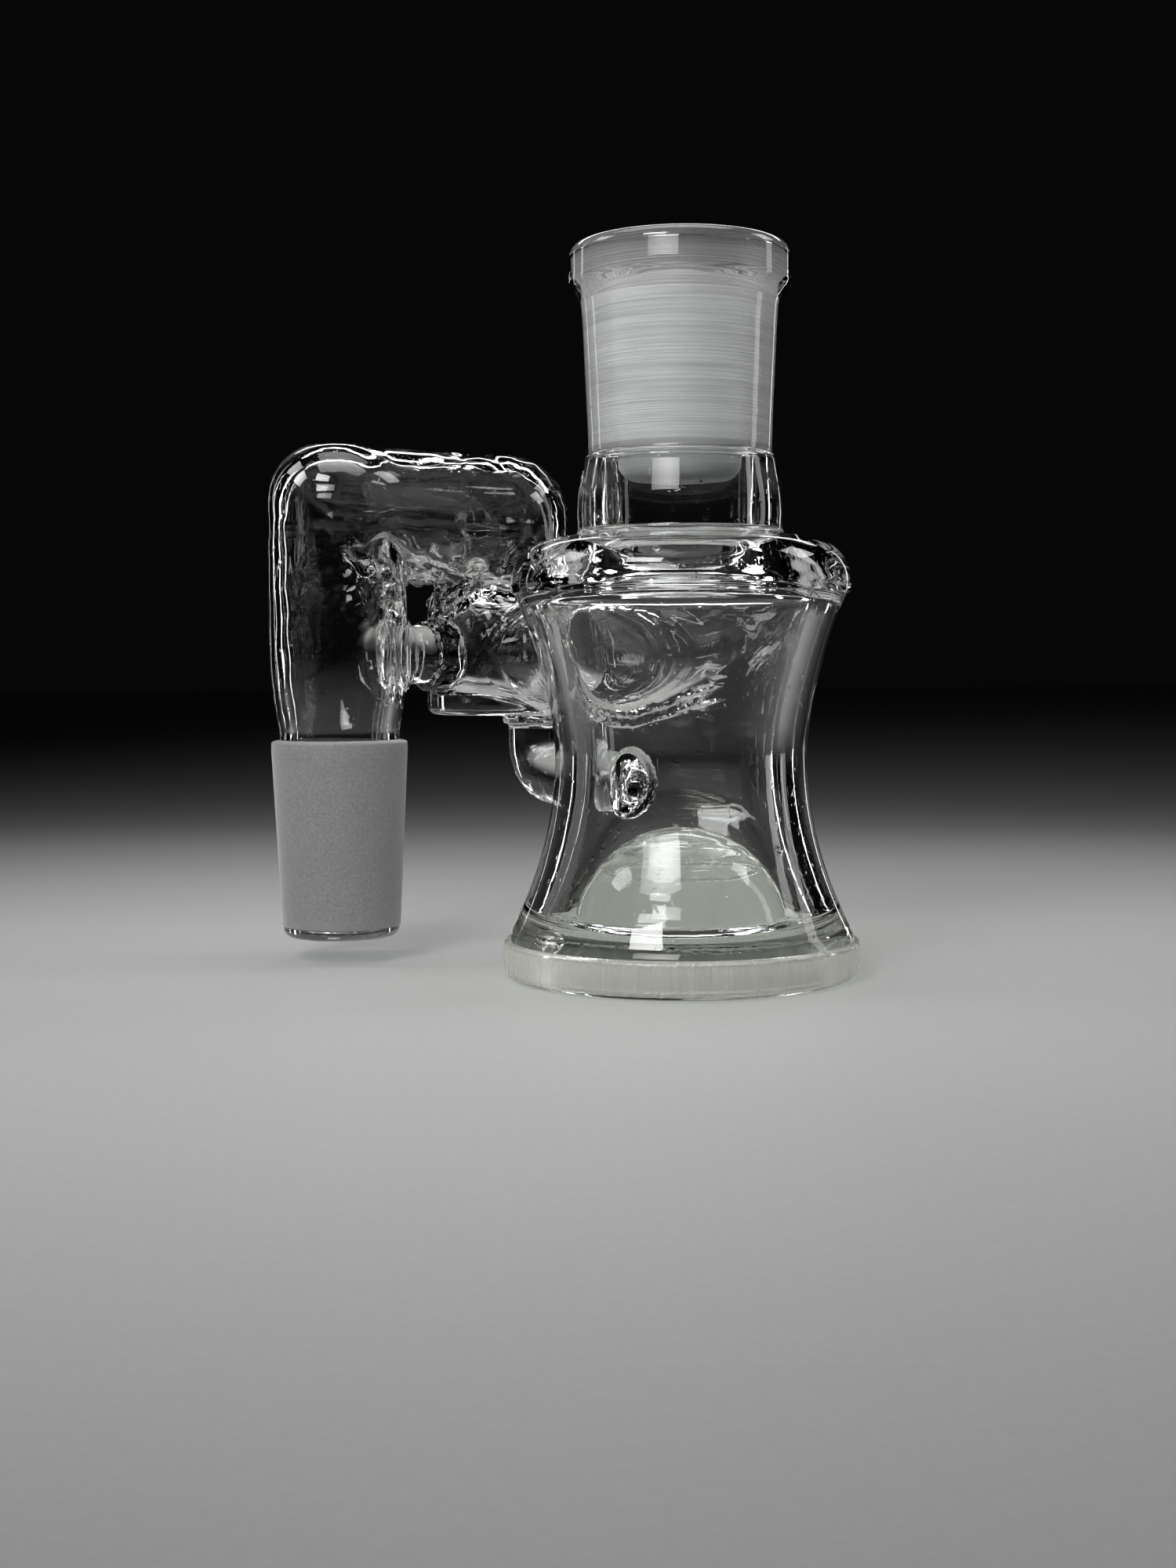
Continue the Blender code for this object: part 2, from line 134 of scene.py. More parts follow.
PORT_BORE_R = 5.9
PORT_WIDE = 1.3  # how much wider than high the port is, where it was opened out
PORT_START = 14.0
PORT_FLARE = 2.2  # how far the port's mouth opens out at the main can's inner face
PORT_SPREAD = 0.13  # how much wider the mouth grows for each mm of that
PORT_LIFT = 0.10  # how much the mouth rises, away from the drop tube
FRONT_BEND = 4.2
REAR_BEND = 3.0
ELBOW_TOP = ARM_Z + ARM_R + 0.3
ELBOW_BOTTOM = 54.0
FRONT_ELBOW_EDGE = 7.8
REAR_ELBOW_EDGE = 9.0
SIDE_TOP = 51.6
SIDE_EDGE = 2.6
CUP_R = 7.95  # outside, in the neck's bore
CUP_BOTTOM = 63.0
ROD_R = 4.0
RING_R = 5.1
RING_HALF = 1.9
BENT_ROD_R = 3.9
WELD_DISC_R = 4.8
WELD_REACH = 0.35  # how far outside a wall its weld is cut
WELD_HEAT_R = 7.0  # how far from the side welds the flame left the glass uneven
FOLD_R = 6.5  # the same for the folded glass on the rear elbow
SEAM_R = 4.5  # and for the seam on the arm's top
PORT_HOLLOW_Z, PORT_HOLLOW_HALF = 36.6, 12.6  # the heights that the port's bore and flow lines stay in
FIELD_LOW, FIELD_HIGH = (-58.0, -2.0, 18.0), (15.0, 48.5, 73.0)  # the side glass's box


def can_radius(z):
    """The waisted can's outer radius at a height."""
    rise = np.asarray(z, float) - WAIST_Z
    lower = LOWER_FLARE * np.abs(rise / (FOOT_TOP - WAIST_Z)) ** 2
    upper = UPPER_FLARE * np.abs(rise / (SHOULDER_Z - WAIST_Z)) ** 1.7
    return WAIST_R + np.where(rise < 0, lower, upper)


# Outlines

def smooth_line(points, per=6):
    """A Catmull-Rom curve through the points, with per steps to each span."""
    p = np.array(points, float)
    p = np.vstack([2 * p[0] - p[1], p, 2 * p[-1] - p[-2]])
    out = []
    for a, b, c, d in zip(p, p[1:], p[2:], p[3:]):
        for t in np.arange(per) / per:
            out.append(0.5 * (2 * b + (c - a) * t + (2 * a - 5 * b + 4 * c - d) * t * t
                              + (3 * b - a - 3 * c + d) * t ** 3))
    out.append(p[-2])
    return [tuple(q) for q in out]


def arc(centre, radius, start, end, count):
    """Points on an arc, between two angles in degrees."""
    angles = np.radians(np.linspace(start, end, count + 1))
    return [(centre[0] + radius * math.cos(a), centre[1] + radius * math.sin(a)) for a in angles]


def rounded(corners, radii, count=5):
    """A polyline whose inner corners are rounded off, each by its own radius."""
    out = [tuple(corners[0])]
    for before, here, after, radius in zip(corners, corners[1:], corners[2:], radii):
        a, b, c = Vector(before), Vector(here), Vector(after)
        reach_a, reach_b = (a - b), (c - b)
        size = min(radius, reach_a.length * 0.48, reach_b.length * 0.48)
        p, q = b + reach_a.normalized() * size, b + reach_b.normalized() * size
        for i in range(count + 1):
            t = i / count
            out.append(tuple(p * (1 - t) ** 2 + b * 2 * t * (1 - t) + q * t * t))
    out.append(tuple(corners[-1]))
    return out


def spread(points, step):
    """The same line with extra points, so that no stretch is longer than step."""
    out = [points[0]]
    for a, b in zip(points, points[1:]):
        count = max(1, math.ceil(math.dist(a, b) / step))
        out += [tuple(np.add(a, np.subtract(b, a) * i / count)) for i in range(1, count + 1)]
    return out


# Meshes

def mesh_object(name, points, faces, materials=(), indices=None):
    mesh = bpy.data.meshes.new(name)
    mesh.from_pydata((np.asarray(points) * MM).tolist(), [], [list(map(int, f)) for f in faces])
    for material in materials:
        mesh.materials.append(material)
    if indices is not None:
        mesh.polygons.foreach_set("material_index", np.asarray(indices, np.int32))
    obj = bpy.data.objects.new(name, mesh)
    bpy.context.scene.collection.objects.link(obj)
    return obj


def turned(name, zones, at=(0.0, 0.0), steps=TURN_STEPS, ring=False):
    """A turned solid. zones is a list of (material, outline points), which follow on from each other.

    An open outline starts and ends on the axis. With ring, its end is joined to its start.
    """
    line, owner, materials = [], [], []
    for material, points in zones:
        if material not in materials:
            materials.append(material)
        start = 1 if line else 0
        line += points[start:]
        owner += [materials.index(material)] * (len(points) - 1)
    line = np.array(line)
    if ring:
        owner.append(owner[-1])
    count = len(line)
    angles = np.arange(steps) * math.tau / steps
    points, start_of = [], []
    for i, (r, z) in enumerate(line):
        start_of.append(len(points))
        if r < 1e-6:
            points.append((at[0], at[1], z))
        else:
            points += list(zip(at[0] + r * np.cos(angles), at[1] + r * np.sin(angles), np.full(steps, z)))
    faces, indices = [], []
    for i in range(count if ring else count - 1):
        j = (i + 1) % count
        a, b = start_of[i], start_of[j]
        for k in range(steps):
            n = (k + 1) % steps
            if line[i][0] < 1e-6:
                faces.append((a, b + k, b + n))
            elif line[j][0] < 1e-6:
                faces.append((a + n, a + k, b))
            else:
                faces.append((a + n, a + k, b + k, b + n))
            indices.append(owner[i])
    obj = mesh_object(name, points, faces, materials, indices)
    fix_normals(obj)
    return obj


def fix_normals(obj):
    """Turns all the faces outwards."""
    body = bmesh.new()
    body.from_mesh(obj.data)
    bmesh.ops.recalc_face_normals(body, faces=body.faces)
    if body.calc_volume(signed=True) < 0:
        bmesh.ops.reverse_faces(body, faces=body.faces)
    body.to_mesh(obj.data)
    body.free()


def combine(target, other, operation, keep_other=False):
    """Applies a Boolean at once; faces keep the materials that they come with."""
    modifier = target.modifiers.new("cut", "BOOLEAN")
    modifier.operation = operation
    modifier.solver = "MANIFOLD"
    modifier.object = other
    modifier.material_mode = "TRANSFER"
    graph = bpy.context.evaluated_depsgraph_get()
    mesh = bpy.data.meshes.new_from_object(target.evaluated_get(graph))
    old = target.data
    target.modifiers.clear()
    target.data = mesh
    mesh.name = target.name
    bpy.data.meshes.remove(old)
    if not keep_other:
        bpy.data.objects.remove(other, do_unlink=True)
    return target


# Distance fields of the side can, the arm and the braces. Inside is negative.

def smooth_min(a, b, k):
    """The union of two fields, blended over a distance of about k."""
    h = np.clip(0.5 + 0.5 * (b - a) / k, 0, 1)
    return b * (1 - h) + a * h - k * h * (1 - h)


def from_segment(p, a, b):
    """How far along the segment each point lies, from 0 to 1, and its distance from it."""
    way = np.subtract(b, a)
    share = np.clip(((p - a) @ way) / (way @ way), 0, 1)
    return share, np.linalg.norm(p - a - share[..., None] * way, axis=-1)


def from_axis(p, axis):
    """Each point's distance from an upright axis."""
    return np.hypot(p[..., 0] - axis[0], p[..., 1] - axis[1])


def upright(p, axis, radius, low, high, edge):
    """An upright cylinder with rounded edges."""
    r = from_axis(p, axis) - radius + edge
    z = np.abs(p[..., 2] - (low + high) / 2) - (high - low) / 2 + edge
    return np.minimum(np.maximum(r, z), 0) + np.hypot(np.maximum(r, 0), np.maximum(z, 0)) - edge


def swept(p, path, radii):
    """A round bar along a path, whose radius changes evenly from point to point."""
    out = None
    for a, b, ra, rb in zip(path, path[1:], radii, radii[1:]):
        share, gap = from_segment(p, a, b)
        d = gap - (ra + (rb - ra) * share)
        out = d if out is None else np.minimum(out, d)
    return out


def turn_corner(before, corner, after, radius, count=7):
    """Points round a square corner, on an arc of the given radius."""
    corner = np.array(corner, float)
    u, v = np.subtract(before, corner), np.subtract(after, corner)
    u, v = u / np.linalg.norm(u), v / np.linalg.norm(v)
    centre = corner + (u + v) * radius
    return [centre - v * radius * math.cos(a) - u * radius * math.sin(a)
            for a in np.linspace(0, math.pi / 2, count + 1)]


SIDE_REACH = np.linalg.norm(SIDE_AXIS)
SIDE_WAY = SIDE_AXIS / SIDE_REACH
SIDE_ACROSS = np.array([-SIDE_WAY[1], SIDE_WAY[0]])
ARM_WAY = (REAR_AXIS - DROP_AXIS) / np.linalg.norm(REAR_AXIS - DROP_AXIS)
BENT_AXIS = node_centre("bent_brace_collar")[:2]
BENT_Z = node_box("bent_brace_rod")[0][2] + BENT_ROD_R


def port_field(p, radius, start, flare=0.0):
    """A level oval bar from start to the side can's axis.

    A flare opens it out at the main can's inner face, more on the side that faces away from the drop
    tube, where the glass was pulled up and round the can.
    """
    flat = p[..., :2]
    way, across = flat @ SIDE_WAY, flat @ SIDE_ACROSS
    depth = from_axis(p, (0, 0)) - (can_radius(p[..., 2]) - CAN_WALL)
    opened = flare * np.exp(-np.maximum(depth + 0.4, 0) / 2.4)
    pulled = np.maximum(-across, 0)
    rise = p[..., 2] - PORT_Z - PORT_LIFT * opened * pulled
    oval = across / (PORT_WIDE + PORT_SPREAD * opened * np.where(across < 0, 2.6, 1.0))
    rings = np.sin(6.2 * depth + 0.9 * np.sin(2.3 * np.arctan2(rise, oval)))
    flow = 0.07 * flare * rings * np.exp(-np.abs(depth - 1.8) / 2.2)
    gap = np.hypot(oval, rise) - radius - opened + flow
    middle, half = (start + SIDE_REACH) / 2, (SIDE_REACH - start) / 2
    return np.maximum(gap, np.abs(way - middle) - half)


def flow_lines(p):
    """How far the can's inner face is pulled out in long lines below and beside the port's mouth."""
    flat = p[..., :2]
    across = flat @ SIDE_ACROSS
    pulled = np.maximum(-across, 0)
    rise = p[..., 2] - PORT_Z - 0.28 * pulled + 0.012 * pulled ** 2
    gap = np.hypot(across / (PORT_WIDE + np.where(across < 0, 0.75, 0.1)), rise) - PORT_BORE_R - PORT_FLARE
    near = np.exp(-((gap - 1.2) / 2.6) ** 2) * np.clip(flat @ SIDE_WAY / 7, 0, 1) * (rise < 2.0)
    drift = 1.1 * np.sin(0.45 * across + 0.6) + 0.5 * np.sin(1.3 * across)
    return near * (0.95 + 0.35 * np.sin(4.4 * gap + drift) + 0.16 * np.sin(9.1 * gap - 1.7 * drift))


def arm_field(p, inset):
    """The arm and the drop tube, drawn in by inset: 0 gives the outside, the wall gives the bore."""
    bottom, in_side_can = (*DROP_AXIS, 20.0), (*(REAR_AXIS * 0.2 + SIDE_AXIS * 0.8), 46.0)
    front, rear = (*DROP_AXIS, ARM_Z), (*REAR_AXIS, ARM_Z)
    first = turn_corner(bottom, front, rear, FRONT_BEND)
    second = turn_corner(front, rear, (*REAR_AXIS, 40.0), REAR_BEND)
    radii = [DROP_R] * (len(first) + 1) + [ARM_R] * (len(second) + 1)
    tube = swept(p, [bottom] + first + second + [in_side_can], np.array(radii) - inset)
    low, high = MALE_TOP + 1.2, 42.0  # the drop tube narrows between these, down to the male joint
    share = np.clip((p[..., 2] - low) / (high - low), 0, 1)
    narrowing = (DROP_R - MALE_NECK_R) * (1 - share) ** 1.6
    return tube + np.where(from_axis(p, DROP_AXIS) < 15, narrowing, 0)


def elbow_field(p, axis, radius, inset, edge):
    """The squarer outer corner of an elbow: an upright tube with a rounded, closed top."""
    return upright(p, axis, radius - inset, ELBOW_BOTTOM, ELBOW_TOP - inset, edge - 0.7 * inset)


def arm_with_elbows(p, inset):
    front = elbow_field(p, DROP_AXIS, DROP_R, inset, FRONT_ELBOW_EDGE)
    rear = elbow_field(p, REAR_AXIS, ARM_R, inset, REAR_ELBOW_EDGE)
    return smooth_min(arm_field(p, inset), np.minimum(front, rear), 0.8)


def can_shell(p):
    """The middle of the main can's wall, which the welds blend into."""
    skin, middle, half = 0.9, 29, 19
    outer = can_radius(p[..., 2])
    r = from_axis(p, (0, 0))
    shell = np.maximum(r - outer + skin, outer - CAN_WALL + skin - r)
    return np.maximum(shell, np.abs(p[..., 2] - middle) - half)


def disc_field(p, centre, way, radius, half, edge=0.5):
    """A round disc with rounded edges, whose axis runs along way."""
    along = (p - centre) @ way
    gap = np.linalg.norm(p - centre - along[..., None] * way, axis=-1)
    return np.hypot(np.maximum(gap - radius + edge, 0), np.maximum(np.abs(along) - half + edge, 0)) - edge


def brace_line():
    """The straight brace's two ends, on the tubes' axes, and the way from one to the other."""
    start, end = np.array([*DROP_AXIS, ROD_Z]), np.array([*SIDE_AXIS, ROD_Z])
    return start, end, (end - start) / np.linalg.norm(end - start)


def brace_field(p):
    """The straight brace's bar, with its flare at the drop tube."""
    start, end, way = brace_line()
    start, end = start + way * (DROP_R - 1.5), end - way * (SIDE_R - 1.5)
    _, gap = from_segment(p, start, end)
    flare = 1.7 * np.exp(-np.maximum((p - start) @ way - 1.2, 0) / 0.9)
    return gap - ROD_R - flare


def ring_field(p):
    """The thick ring of glass round the straight brace, at the side can."""
    _, end, way = brace_line()
    ring = disc_field(p, end - way * (SIDE_R + 0.9), way, RING_R, RING_HALF)
    return ring + 0.045 * ripples(p, 0.8) * np.exp(-np.abs(ring) / 1.5)


def bent_field(p, shell):
    """The bent brace: down from the side can's floor, round one bend and level to the main can."""
    top = np.array([*BENT_AXIS, SIDE_BOTTOM + 0.5])
    corner = np.array([*BENT_AXIS, BENT_Z])
    pad_way = PAD_PLACE / np.linalg.norm(PAD_PLACE)
    weld = np.array([*(PAD_PLACE - pad_way * 1.5), BENT_Z])
    path = [top] + turn_corner(top, corner, weld, 5.0) + [weld]
    bar = swept(p, path, [BENT_ROD_R] * len(path))
    collar = upright(p, BENT_AXIS, BENT_ROD_R + 0.8, SIDE_BOTTOM - 1.3, SIDE_BOTTOM + 1, 0.4)
    bar = smooth_min(bar, collar, 0.5)
    way = np.array([*pad_way, 0.0])
    at_wall = way * (can_radius(BENT_Z) + 0.3) + np.array([0.0, 0.0, BENT_Z])
    bar = smooth_min(bar, disc_field(p, at_wall, way, WELD_DISC_R, 0.9), 0.5)
    return np.maximum(smooth_min(bar, shell, 1.4), p[..., 2] - SIDE_BOTTOM - 1)


def ripples(p, size):
    """The uneven surface that the flame leaves, as a few crossed waves."""
    x, y, z = p[..., 0] / size, p[..., 1] / size, p[..., 2] / size
    return (np.sin(1.9 * x + 1.1 * z + 0.7) * np.sin(1.3 * y - 0.8 * x + 1.9)
            + 0.6 * np.sin(2.7 * z + 1.4 * y) * np.sin(2.2 * x - 1.7 * z + 0.4))


def weld_heat(p):
    """1 where the flame worked the welds under the arm, falling to 0 away from them."""
    under = DROP_AXIS + ARM_WAY * 6.0
    _, arm = from_segment(p, np.array([*under, 52.0]), np.array([*SIDE_AXIS, 50.0]))
    return np.exp(-(arm / WELD_HEAT_R) ** 2)


def fold_heat(p):
    """1 at the folded glass on the rear elbow and the seam on the arm's top, falling to 0 round them."""
    elbow = np.array([*(REAR_AXIS + ARM_WAY * 5.0), ARM_Z + 5.0])
    seam = np.array([*(DROP_AXIS + ARM_WAY * 19.0), ELBOW_TOP])
    far, near = (np.linalg.norm(p - place, axis=-1) for place in (elbow, seam))
    return np.exp(-(far / FOLD_R) ** 2) + 0.8 * np.exp(-(near / SEAM_R) ** 2)


def outside_field(p):
    """The outer surface of the side glass, with all its welds."""
    side = upright(p, SIDE_AXIS, SIDE_R, SIDE_BOTTOM, SIDE_TOP, SIDE_EDGE)
    floor = upright(p, SIDE_AXIS, SIDE_R, SIDE_BOTTOM, 44.0, 1.3)
    arm = np.maximum(arm_with_elbows(p, 0.0), 29.0 - p[..., 2])
    body = smooth_min(np.minimum(side, floor), arm, 2.0)
    shell = can_shell(p)
    body = smooth_min(body, smooth_min(port_field(p, PORT_R, PORT_START), shell, 3.0), 2.4)
    body = smooth_min(body, brace_field(p), 1.2)
    heat = weld_heat(p)
    body = body + heat * (0.34 * ripples(p, 1.4) + 0.12 * ripples(p, 0.8)) + 0.025 * ripples(p, 4.0)
    body = body + fold_heat(p) * (0.38 * ripples(p, 1.9) + 0.08 * ripples(p, 0.9))
    body = smooth_min(body, ring_field(p), 0.3)
    return np.minimum(body, bent_field(p, shell))


def hollow_field(p):
    """The hollow of the side glass, and what the port takes from the main can's inner face."""
    side = upright(p, SIDE_AXIS, SIDE_R - SIDE_WALL, SIDE_BOTTOM + 2.8, SIDE_TOP - 2.0, 3.0)
    body = smooth_min(side, arm_with_elbows(p, TUBE_WALL), 1.6)
    can = from_axis(p, (0, 0)) - (can_radius(p[..., 2]) - CAN_WALL - 0.9) - flow_lines(p)
    port = smooth_min(port_field(p, PORT_BORE_R, 4.0, PORT_FLARE), can, 1.2)
    port = np.maximum(port, np.abs(p[..., 2] - PORT_HOLLOW_Z) - PORT_HOLLOW_HALF)
    body = smooth_min(body, port, 1.8)
    return body + 0.42 * weld_heat(p) * ripples(p, 2.0) + 0.06 * ripples(p, 5.0)


def field_mesh(name, field, material):
    """The zero surface of a distance field in the side glass's box, with each point pulled onto it."""
    low, high = np.array(FIELD_LOW), np.array(FIELD_HIGH)
    counts = np.ceil((high - low) / VOXEL).astype(int) + 1
    axes = [low[i] + np.arange(counts[i]) * VOXEL for i in range(3)]
    values = np.stack([field(np.stack(np.meshgrid([x], axes[1], axes[2], indexing="ij"), axis=-1))[0]
                       for x in axes[0]])
    edge = np.ones(counts, bool)
    edge[1:-1, 1:-1, 1:-1] = False
    values[edge] = np.maximum(values[edge], VOXEL)
    grid = openvdb.FloatGrid(float(VOXEL * 4))
    grid.copyFromArray(np.clip(values, -VOXEL * 4, VOXEL * 4).astype(np.float32))
    points, quads = grid.convertToQuads(0.0)
    points = points.astype(float) * VOXEL + low
    inner = np.all((points > low + 1.5 * VOXEL) & (points < high - 1.5 * VOXEL), axis=1)
    step, reach = 0.05, 0.2
    for _ in range(3):
        slope = np.stack([(field(points + way) - field(points - way)) / (2 * step)
                          for way in np.eye(3) * step], axis=-1)
        size = np.maximum((slope ** 2).sum(axis=-1), 0.1)
        move = np.clip(field(points) / size, -reach, reach)[:, None] * slope
        points = np.where(inner[:, None], points - move, points)
    obj = mesh_object(name, points, quads, [material])
    fix_normals(obj)
    return obj


# Materials

GLASS_IOR = 1.474


def node(tree, kind, inputs=None, **settings):
    """A shader node. An input that is a socket is linked, and any other is set."""
    made = tree.nodes.new(kind)
    for key, value in settings.items():
        setattr(made, key, value)
    for key, value in (inputs or {}).items():
        if isinstance(value, bpy.types.NodeSocket):
            tree.links.new(value, made.inputs[key])
        else:
            made.inputs[key].default_value = value
    return made


def ramp(tree, fac, low, high, dark, light):
    """Maps low to high onto dark to light, and holds what lies outside."""
    made = node(tree, "ShaderNodeMapRange", {"Value": fac, "From Min": low, "From Max": high,
                                             "To Min": dark, "To Max": light})
    return made.outputs["Result"]


def start_material(name):
    material = bpy.data.materials.new(name)
    material.use_nodes = True
    tree = material.node_tree
    tree.nodes.clear()
    place = node(tree, "ShaderNodeTexCoord").outputs["Object"]
    return material, tree, place


def stretched(tree, place, scale):
    """The place, scaled on each axis by itself, which draws a texture out into lines."""
    made = node(tree, "ShaderNodeMapping", {"Vector": place, "Scale": scale})
    return made.outputs["Vector"]


def noise(tree, place, scale, detail=3.0, roughness=0.5):
    made = node(tree, "ShaderNodeTexNoise", {"Vector": place, "Scale": scale, "Detail": detail,
                                             "Roughness": roughness})
    return made.outputs["Fac"]


def finish_material(material, tree, shader, lamp_colour, edge_colour):
    """Lets lamp light pass the glass as a tinted shadow, darker where the glass is seen edge on."""
    facing = node(tree, "ShaderNodeLayerWeight", {"Blend": 0.35}).outputs["Facing"]
    colour = node(tree, "ShaderNodeMix", {"Factor": facing, "A": (*lamp_colour, 1), "B": (*edge_colour, 1)},
                  data_type="RGBA")
    sheer = node(tree, "ShaderNodeBsdfTransparent", {"Color": colour.outputs[2]})
    path = node(tree, "ShaderNodeLightPath")
    both = node(tree, "ShaderNodeMixShader", {0: path.outputs["Is Shadow Ray"], 1: shader.outputs[0],
                                              2: sheer.outputs[0]})
    node(tree, "ShaderNodeOutputMaterial", {"Surface": both.outputs[0]})
    return material


def clear_glass(name, colour):
    """Fire-polished glass: slow waves, faint drawn lines, a few seeds and scratches, and soft smears."""
    material, tree, place = start_material(name)
    waves = noise(tree, place, 90.0, 2.0)
    drawn = noise(tree, stretched(tree, place, (1400.0, 1400.0, 60.0)), 1.0, 1.0)
    seeds = ramp(tree, noise(tree, place, 800.0, 1.0), 0.70, 0.78, 0.0, 0.25)
    scratches = ramp(tree, noise(tree, stretched(tree, place, (2600.0, 2600.0, 240.0)), 1.0, 1.0),
                     0.72, 0.80, 0.0, 0.2)
    height = waves
    for part, share in ((drawn, 0.06), (seeds, 1.0), (scratches, 1.0)):
        height = node(tree, "ShaderNodeMath", {0: part, 1: share, 2: height},
                      operation="MULTIPLY_ADD").outputs[0]
    bump = node(tree, "ShaderNodeBump", {"Height": height, "Strength": 0.10, "Distance": 0.0005})
    smears = ramp(tree, noise(tree, place, 240.0, 4.0, 0.6), 0.58, 0.75, 0.0, 0.04)
    shader = node(tree, "ShaderNodeBsdfPrincipled",
                  {"Base Color": (*colour, 1), "Roughness": smears, "IOR": GLASS_IOR,
                   "Transmission Weight": 1.0, "Normal": bump.outputs[0]})
    return finish_material(material, tree, shader, (0.97, 0.98, 0.97), (0.55, 0.58, 0.55))


def cut_edge_glass(name, colour):
    """The foot's thick rim: straw-tinted glass with upright streaks that catch the light."""
    material, tree, place = start_material(name)
    streaks = noise(tree, stretched(tree, place, (420.0, 420.0, 25.0)), 1.0, 3.0, 0.6)
    fine = noise(tree, stretched(tree, place, (1800.0, 1800.0, 160.0)), 1.0, 2.0)
    height = node(tree, "ShaderNodeMath", {0: fine, 1: 0.25, 2: streaks}, operation="MULTIPLY_ADD")
    bump = node(tree, "ShaderNodeBump", {"Height": height.outputs[0], "Strength": 0.5, "Distance": 0.0006})
    rough = ramp(tree, streaks, 0.35, 0.65, 0.10, 0.32)
    shader = node(tree, "ShaderNodeBsdfPrincipled",
                  {"Base Color": (*colour, 1), "Roughness": rough, "IOR": GLASS_IOR,
                   "Transmission Weight": 0.62, "Normal": bump.outputs[0]})
    return finish_material(material, tree, shader, (0.93, 0.95, 0.88), (0.5, 0.52, 0.46))


def ground_glass(name, speckle, lines, dark, light):
    """Sandblasted and ground glass: white and matt, with level grinding lines or a fine speckle."""
    material, tree, place = start_material(name)
    fine = noise(tree, place, 4200.0, 4.0, 0.7)
    rings = noise(tree, stretched(tree, place, (40.0, 40.0, 5200.0)), 1.0, 3.0, 0.65)
    broad = noise(tree, stretched(tree, place, (60.0, 60.0, 900.0)), 1.0, 3.0)
    cloud = noise(tree, place, 2400.0, 3.0, 0.7)
    grains = node(tree, "ShaderNodeMath", {0: fine, 1: speckle}, operation="MULTIPLY").outputs[0]
    mixed = node(tree, "ShaderNodeMath", {0: rings, 1: lines, 2: grains}, operation="MULTIPLY_ADD")
    bump = node(tree, "ShaderNodeBump", {"Height": mixed.outputs[0], "Strength": 0.55, "Distance": 0.00012})
    level = node(tree, "ShaderNodeMath", {0: rings, 1: broad}, operation="ADD").outputs[0]
    spots = node(tree, "ShaderNodeMath", {0: fine, 1: cloud}, operation="ADD").outputs[0]
    tone = node(tree, "ShaderNodeMix", {"Factor": lines, "A": spots, "B": level})
    white = node(tree, "ShaderNodeMix", {"Factor": ramp(tree, tone.outputs[0], 0.7, 1.3, 0.0, 1.0),
                                         "A": (dark, dark * 1.005, dark * 1.01, 1),
                                         "B": (light, light * 1.005, light * 1.01, 1)}, data_type="RGBA")
    rough = ramp(tree, fine, 0.3, 0.7, 0.42, 0.62)
    shader = node(tree, "ShaderNodeBsdfPrincipled",
                  {"Base Color": white.outputs[2], "Roughness": rough, "IOR": GLASS_IOR,
                   "Transmission Weight": 0.25, "Sheen Weight": 0.6, "Sheen Roughness": 0.4,
                   "Normal": bump.outputs[0]})
    return finish_material(material, tree, shader, (0.62, 0.63, 0.64), (0.35, 0.36, 0.37))


def weld_glass():
    """The inside of a weld, where the pieces are one glass: light goes straight on."""
    material, tree, _ = start_material("fused_weld")
    sheer = node(tree, "ShaderNodeBsdfTransparent", {"Color": (1, 1, 1, 1)})
    node(tree, "ShaderNodeOutputMaterial", {"Surface": sheer.outputs[0]})
    return material


CLEAR = clear_glass("clear_glass_fire_polished", (0.985, 0.995, 0.985))
THICK = clear_glass("thick_glass_straw_tint", (0.965, 0.97, 0.935))
RIM = cut_edge_glass("foot_rim_streaked", (0.985, 0.99, 0.92))
GROUND_BORE = ground_glass("ground_bore_level_lines", 0.25, 1.0, 0.62, 0.97)
# The lip's bore is the same ground glass painted darker: painted shade for the band under the rolled lip,
# which gets less lamp light.
GROUND_LIP_PAINTED_SHADE = ground_glass("ground_lip_level_lines_painted_shade", 0.25, 1.0, 0.26, 0.42)
GROUND_CUP = ground_glass("ground_cup_level_lines", 0.25, 1.0, 0.44, 0.66)
GROUND_CONE = ground_glass("ground_cone_speckle", 1.0, 0.06, 0.25, 0.44)
WELD = weld_glass()


# The main can, turned

def in_bore(z):
    """The point of the outline that lies on the female joint's tapered bore, at a height."""
    return JOINT_R + 0.02 - (TOTAL_Z - z) / TAPER, z


def foot_outline():
    """The foot's flat bottom, and its rim with rounded edges."""
    edge, top_edge = 1.5, 0.8
    under = [(0.0, 0.0)] + arc((FOOT_R - edge, edge), edge, -90, -45, 4)
    rim = arc((FOOT_R - edge, edge), edge, -45, 0, 4)
    rim += arc((FOOT_R - top_edge, FOOT_TOP - top_edge), top_edge, 0, 80, 6)
    return under, rim


def shoulder_outline():
    """The thick ring that closes the can, with a crease under it and a fillet up to the neck."""
    line = [(SHOULDER_R - 0.5, SHOULDER_Z + 0.03), (SHOULDER_R - 0.12, SHOULDER_Z + 0.2)]
    line += smooth_line([(SHOULDER_R - 0.05, SHOULDER_Z + 0.7), (SHOULDER_R, SHOULDER_Z + 1.6),
                         (SHOULDER_R - 0.3, NECK_Z - 4.3), (SHOULDER_R - 1.25, NECK_Z - 2.6),
                         (SHOULDER_R - 2.85, NECK_Z - 1.3), (SHOULDER_R - 5.3, NECK_Z - 0.55),
                         (NECK_R + 1.2, NECK_Z - 0.2)], 5)
    return line + arc((NECK_R + 1.0, NECK_Z + 0.8), 1.0, 268, 184, 7)


def neck_outline():
    """The clear neck, which narrows a little and rounds in under the barrel."""
    top_r, edge = 12.45, 0.9
    line = smooth_line([(NECK_R, NECK_Z + 1.4), (NECK_R + 0.05, 60.0), (NECK_R - 0.1, 62.4),
                        (12.75, 64.6)], 4)
    return line + arc((top_r - edge, BARREL_Z - 1.1), edge, 10, 85, 6)


